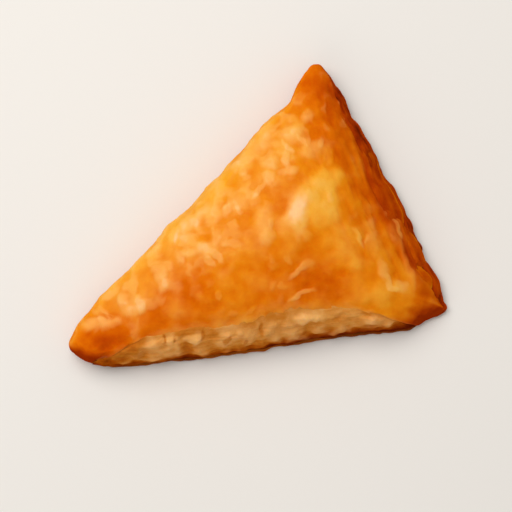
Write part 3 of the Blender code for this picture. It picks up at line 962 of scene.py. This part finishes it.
# What covers a creamy place, from partly to wholly: the pale of blisters and lumps, and painted highlights.
EGG_CREAM_AND_HIGHLIGHT = [(0.5, (1.0, 0.55, 0.18)), (1.0, (1.0, 0.66, 0.36))]
DOUGH_CREAM_AND_HIGHLIGHT = [(0.5, (0.94, 0.52, 0.2)), (1.0, (0.98, 0.6, 0.3))]
SHINE_COLOUR = (1.0, 0.6, 0.25, 1)
SHINE_ROUGHNESS = 0.3
BROWN_WITHOUT_SHINE = 0.62  # the toast and shading from which on the egg wash is dull
# How far light goes through the dough: its share, its reach in red, green and blue, and their scale.
GLOW, GLOW_REACH, GLOW_SCALE = 0.2, (1.0, 0.45, 0.15), 1.5 * MM
BUMP_HEIGHT = 0.35 * MM


def colour_ramp(tree, factor, colours):
    """A colour ramp with the given positions and colours."""
    ramp = add(tree, "ShaderNodeValToRGB", factor)
    while len(ramp.color_ramp.elements) < len(colours):
        ramp.color_ramp.elements.new(0.5)
    for element, (position, colour) in zip(ramp.color_ramp.elements, colours):
        element.position = position
        element.color = (*colour, 1)
    return ramp.outputs["Color"]


def finished(name, colours, cream_and_highlight_colours, group, mottle, mottle_size, grain, grain_size, roughness, bump, shine=0):
    """A baked dough finish: the toast and shading mask, made uneven by mottling and grain, picks the colour,
    and the cream and highlight mask lays its own over it. The shine is an egg wash, strongest where the toast
    and shading is least."""
    material = bpy.data.materials.new(name)
    material.use_nodes = True
    tree = material.node_tree
    shader = tree.nodes["Principled BSDF"]
    place = add(tree, "ShaderNodeTexCoord").outputs["Object"]
    marks = add(tree, "ShaderNodeGroup", place, mottle_size, grain_size, node_tree=group)
    toast = add(tree, "ShaderNodeAttribute", attribute_name="toast").outputs["Fac"]
    uneven = math(tree, "MULTIPLY_ADD", marks.outputs["Mottle"], mottle, -mottle / 2)
    uneven = math(tree, "MULTIPLY_ADD", marks.outputs["Grain"], grain, math(tree, "ADD", uneven, -grain / 2))
    baked = colour_ramp(tree, math(tree, "ADD", toast, uneven), colours)
    cream = add(tree, "ShaderNodeAttribute", attribute_name="cream").outputs["Fac"]
    mixed = add(tree, "ShaderNodeMix", data_type="RGBA")
    for socket, value in ((0, cream), (6, baked), (7, colour_ramp(tree, cream, cream_and_highlight_colours))):
        put(tree, mixed, socket, value)
    put(tree, shader, "Base Color", mixed.outputs[2])
    put(tree, shader, "Roughness", math(tree, "MULTIPLY_ADD", marks.outputs["Grain"], 0.25, roughness - 0.12))
    # No specular reflection: the highlights are painted through the cream and highlight mask.
    put(tree, shader, "Specular IOR Level", 0.0)
    if shine:
        golden = math(tree, "MAXIMUM", math(tree, "SUBTRACT", BROWN_WITHOUT_SHINE, toast), 0.0)
        put(tree, shader, "Coat Weight", math(tree, "MULTIPLY", golden, shine))
        put(tree, shader, "Coat Roughness", SHINE_ROUGHNESS)
        put(tree, shader, "Coat Tint", SHINE_COLOUR)
    put(tree, shader, "Subsurface Weight", GLOW)
    put(tree, shader, "Subsurface Radius", GLOW_REACH)
    put(tree, shader, "Subsurface Scale", GLOW_SCALE)
    height = math(tree, "MULTIPLY_ADD", marks.outputs["Bubbles"], 0.6, marks.outputs["Grain"])
    relief = add(tree, "ShaderNodeBump", Strength=bump, Distance=BUMP_HEIGHT, Height=height)
    put(tree, shader, "Normal", relief.outputs[0])
    return material


def egg_washed_crust(group):
    return finished("egg_washed_crust", CRUST_COLOURS, EGG_CREAM_AND_HIGHLIGHT, group, mottle=0.1, mottle_size=3.2,
                    grain=0.05, grain_size=0.7, roughness=0.42, bump=0.12, shine=0.4)


def toasted_layers(group):
    return finished("toasted_layers", CRUST_COLOURS, EGG_CREAM_AND_HIGHLIGHT, group, mottle=0.14, mottle_size=2.4,
                    grain=0.08, grain_size=0.6, roughness=0.6, bump=0.2)


def baked_bottom(group):
    return finished("baked_bottom", BASE_COLOURS, EGG_CREAM_AND_HIGHLIGHT, group, mottle=0.2, mottle_size=4.0,
                    grain=0.1, grain_size=0.7, roughness=0.6, bump=0.2)


def pale_layers(group):
    return finished("pale_layers", PALE_COLOURS, DOUGH_CREAM_AND_HIGHLIGHT, group, mottle=0.16, mottle_size=2.4,
                    grain=0.08, grain_size=0.6, roughness=0.72, bump=0.3)


# ---- Floor, lights and camera ----

CAMERA_PLACE = (12.2, -46.13, 530.82)  # in the outline's millimetres
CAMERA_TARGET = (-0.5, -13.48, 12.0)
LENS = 109.14  # the camera's focal length
# The lights and the floor, in metres.
LIGHT_TARGET = (0, 0, 0.012)  # the middle of the pie
LIGHT_SIZE = 0.7
FLOOR_REACH = 3.0  # from its middle to each side
FLOOR_COLOUR = (0.86, 0.85, 0.84, 1)
STUDIO_COLOUR = (1.0, 0.96, 0.9)
STUDIO_STRENGTH = 0.35


def in_frame(point):
    """A place of the outline in the frame's metres."""
    return (Vector(point) - Vector((*MIDDLE, 0))) * MM


def aimed(place, target, up):
    """A placement at a point that looks at a target, with the picture's top towards up."""
    back = (place - target).normalized()
    right = up.cross(back).normalized()
    turn = Matrix((right, back.cross(right), back)).transposed()
    return Matrix.Translation(place) @ turn.to_4x4()


def add_camera():
    """A camera at the photograph's viewing angle."""
    data = bpy.data.cameras.new("camera")
    data.lens = LENS
    camera = add_object("camera", data)
    camera.matrix_world = aimed(in_frame(CAMERA_PLACE), in_frame(CAMERA_TARGET), Vector((0, 1, 0)))
    bpy.context.scene.camera = camera


def add_light(name, place, power, colour):
    """A square softbox that shines at the pie."""
    data = bpy.data.lights.new(name, "AREA")
    data.size = LIGHT_SIZE
    data.energy = power
    data.color = colour
    light = add_object(name, data)
    light.matrix_world = aimed(Vector(place), Vector(LIGHT_TARGET), Vector((0, 0.3, 1)))


def add_floor():
    """A plain pale square under the pie."""
    mesh = bpy.data.meshes.new("floor")
    corners = [(x * FLOOR_REACH, y * FLOOR_REACH, 0) for x, y in ((-1, -1), (1, -1), (1, 1), (-1, 1))]
    mesh.from_pydata(corners, [], [(0, 1, 2, 3)])
    material = bpy.data.materials.new("pale_floor")
    material.use_nodes = True
    shader = material.node_tree.nodes["Principled BSDF"]
    shader.inputs["Base Color"].default_value = FLOOR_COLOUR
    shader.inputs["Roughness"].default_value = 0.8
    mesh.materials.append(material)
    floor = add_object("floor", mesh)


def set_stage():
    """A pale studio: soft light from all round, a strong lamp behind on the left and a weak one in front."""
    scene = bpy.context.scene
    scene.view_settings.view_transform = "Standard"
    world = bpy.data.worlds.new("studio")
    world.use_nodes = True
    background = world.node_tree.nodes["Background"]
    background.inputs["Color"].default_value = (*STUDIO_COLOUR, 1)
    background.inputs["Strength"].default_value = STUDIO_STRENGTH
    scene.world = world
    add_floor()
    add_light("key", (-0.22, 0.3, 0.8), power=6.1, colour=STUDIO_COLOUR)
    add_light("fill", (-0.3, -0.8, 0.5), power=1.2, colour=(1.0, 0.95, 0.9))
    add_camera()


def main():
    set_stage()
    group = bake_marks()
    make_piece("crust", *crust(), material=egg_washed_crust(group), slot="browned_crust")
    make_piece("risen_inside", *body(), material=pale_layers(group), slot="pale_layers")
    make_piece("base", *base(), material=baked_bottom(group), slot="browned_crust")
    leaves = joined([leaf(sort) for sort in LEAVES])
    make_piece("brown_leaves", *leaves, material=toasted_layers(group), slot="browned_crust")


main()
